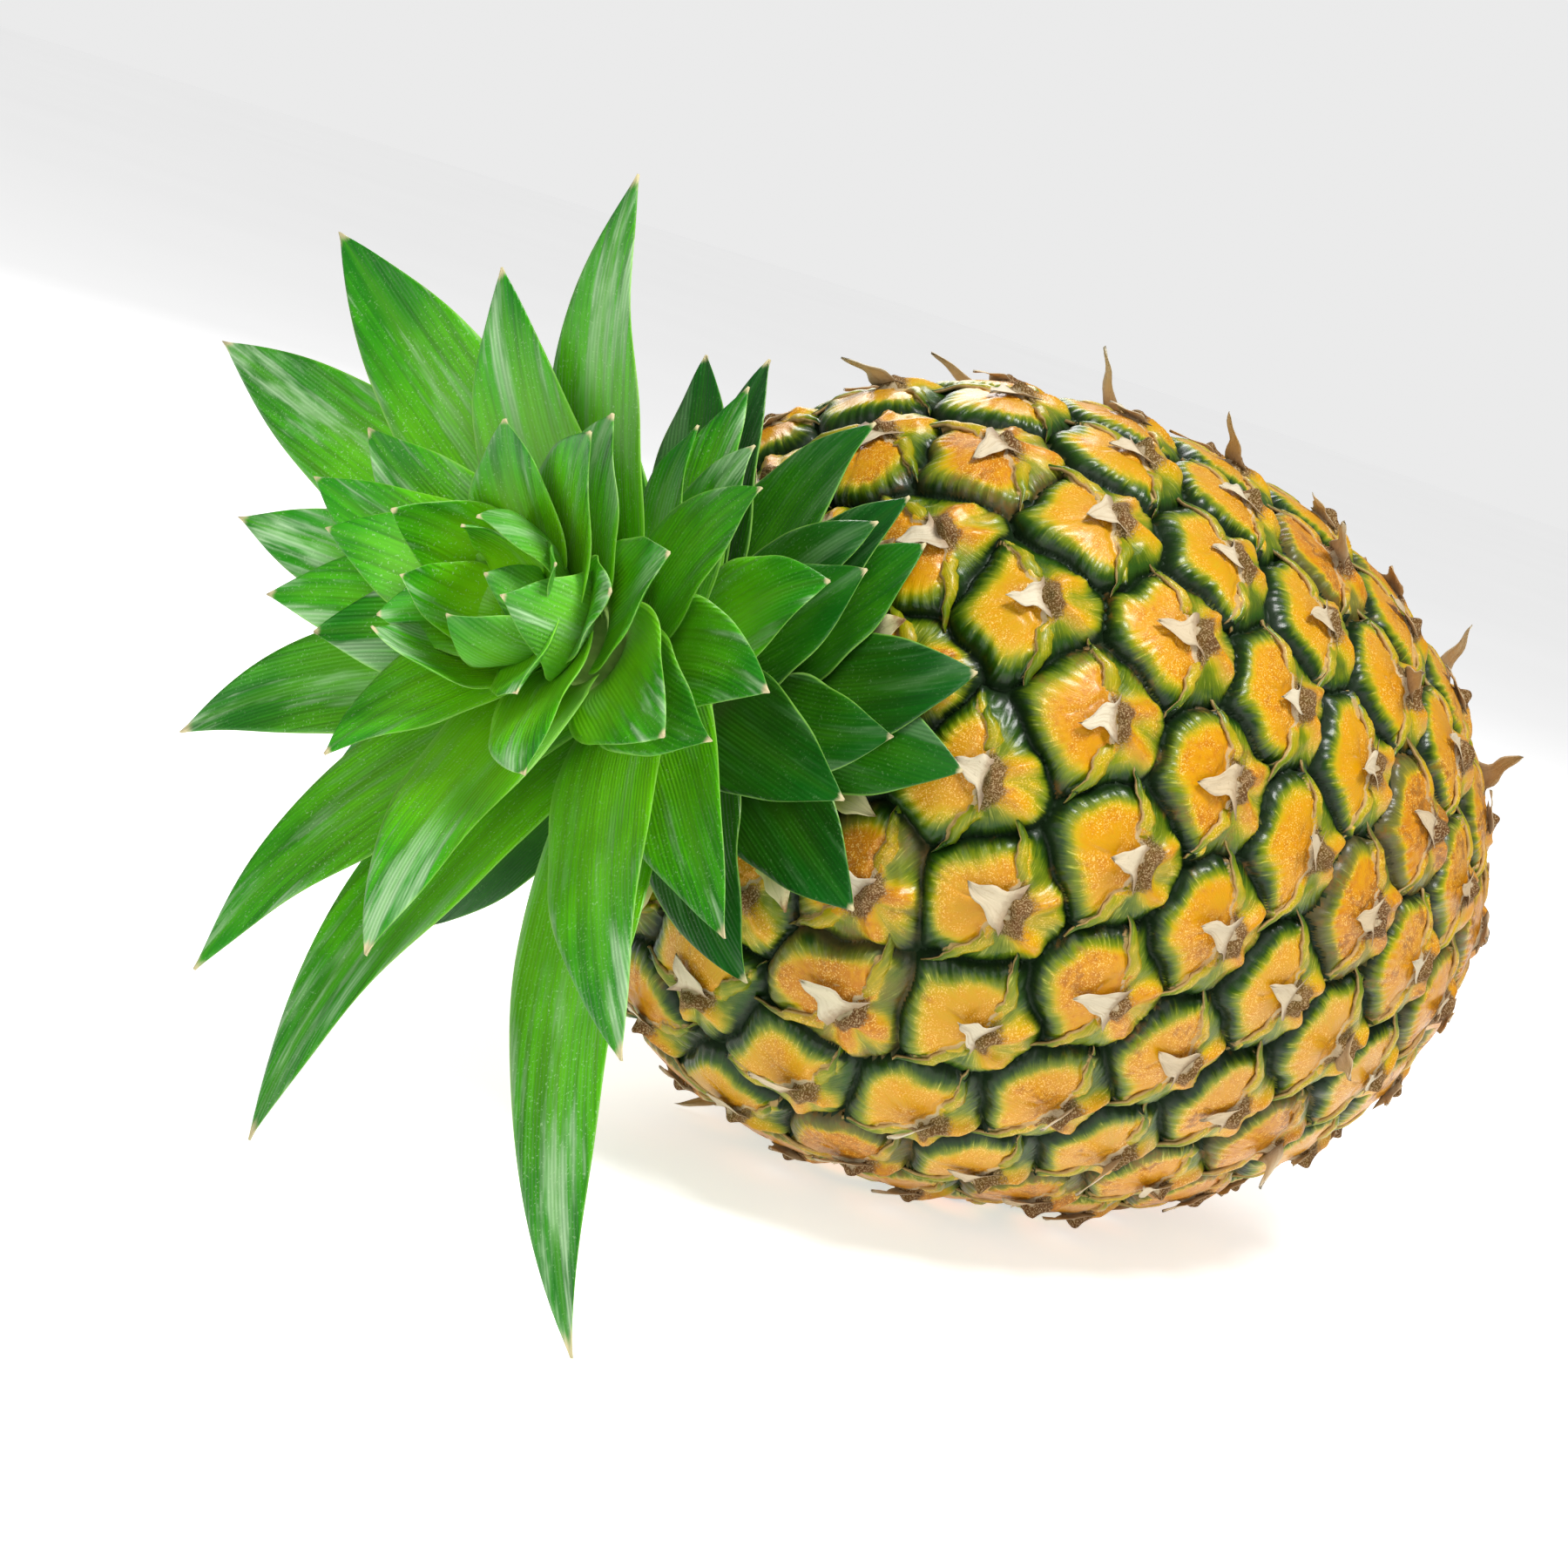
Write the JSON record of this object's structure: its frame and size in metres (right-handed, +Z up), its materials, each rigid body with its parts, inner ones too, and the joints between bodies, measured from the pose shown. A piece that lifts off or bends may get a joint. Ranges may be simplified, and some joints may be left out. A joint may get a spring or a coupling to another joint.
{
  "type": "pineapple",
  "caption": "Whole pineapple lying on its side: barrel-shaped fruit with spiral eyes, a cut stalk and a short leafy crown.",
  "frame": {"origin": "centre of the small flat spot under the fruit, on the surface it rests on", "axes": "+Z up; the crown points towards -X and the cut stalk towards +X; +Y is the far side"},
  "size_m": [0.2301, 0.1596, 0.1335],
  "materials": {
    "rind": "waxy yellow rind with green grooves and dry brown bract tips",
    "stalk": "dry fibrous cut",
    "core": "pale green, soft",
    "basal_leaf": "dark green with a whitish bloom",
    "outer_leaf": "green, faintly striped, satin",
    "inner_leaf": "yellow-green, satin"
  },
  "bodies": {
    "root": {"fruit_body": "rind", "stalk_stub": "stalk", "crown_core": "core", "leaf_01": "basal_leaf", "leaf_02": "basal_leaf", "leaf_03": "basal_leaf", "leaf_04": "basal_leaf", "leaf_05": "basal_leaf", "leaf_06": "basal_leaf", "leaf_07": "basal_leaf", "leaf_08": "basal_leaf", "leaf_09": "basal_leaf", "leaf_10": "basal_leaf", "leaf_11": "basal_leaf", "leaf_12": "basal_leaf", "leaf_13": "basal_leaf", "leaf_14": "basal_leaf", "leaf_15": "basal_leaf", "leaf_16": "basal_leaf", "leaf_17": "basal_leaf", "leaf_18": "basal_leaf", "leaf_19": "outer_leaf", "leaf_20": "outer_leaf", "leaf_21": "outer_leaf", "leaf_22": "outer_leaf", "leaf_23": "outer_leaf", "leaf_24": "outer_leaf", "leaf_25": "outer_leaf", "leaf_26": "outer_leaf", "leaf_27": "outer_leaf", "leaf_28": "outer_leaf", "leaf_29": "outer_leaf", "leaf_30": "outer_leaf", "leaf_31": "outer_leaf", "leaf_32": "outer_leaf", "leaf_33": "outer_leaf", "leaf_34": "outer_leaf", "leaf_35": "outer_leaf", "leaf_36": "outer_leaf", "leaf_37": "outer_leaf", "leaf_38": "inner_leaf", "leaf_39": "inner_leaf", "leaf_40": "inner_leaf", "leaf_41": "inner_leaf", "leaf_42": "inner_leaf", "leaf_43": "inner_leaf", "leaf_44": "inner_leaf", "leaf_45": "inner_leaf", "leaf_46": "inner_leaf", "leaf_47": "inner_leaf", "leaf_48": "inner_leaf", "leaf_49": "inner_leaf", "leaf_50": "inner_leaf", "leaf_51": "inner_leaf", "leaf_52": "inner_leaf", "leaf_53": "inner_leaf", "leaf_54": "inner_leaf", "leaf_55": "inner_leaf"}
  },
  "joints": []
}
